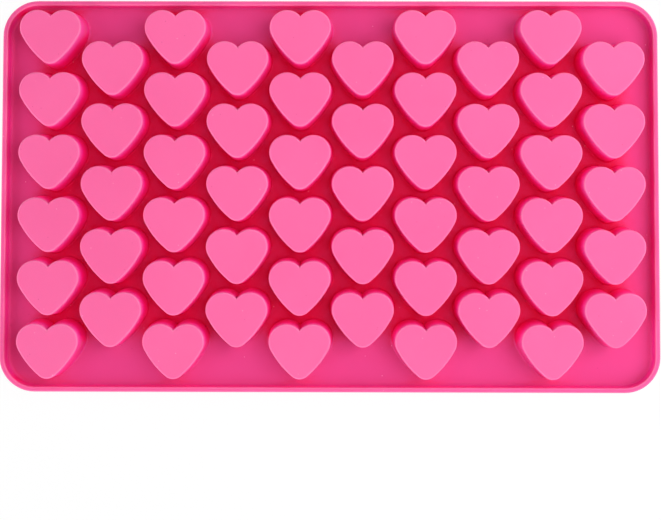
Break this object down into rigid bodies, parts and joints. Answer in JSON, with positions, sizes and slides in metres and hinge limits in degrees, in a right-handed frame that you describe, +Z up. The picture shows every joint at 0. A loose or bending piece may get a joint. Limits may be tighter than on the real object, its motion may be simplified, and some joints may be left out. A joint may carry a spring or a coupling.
{
  "type": "silicone heart mould",
  "caption": "Flexible one-piece tray of small heart cavities in staggered columns, lying open side down, with an upright rim round its edge.",
  "frame": {"origin": "centre of the underside, in the plane of the cavities' mouths, under the middle of the tray", "axes": "+X along the tray's length, +Y from the hearts' tips to their lobes, +Z up out of the web, the way the closed hearts stand"},
  "size_m": [0.185, 0.11, 0.01],
  "materials": {
    "silicone": "satin"
  },
  "bodies": {
    "root": {"mould": "silicone"}
  },
  "joints": []
}
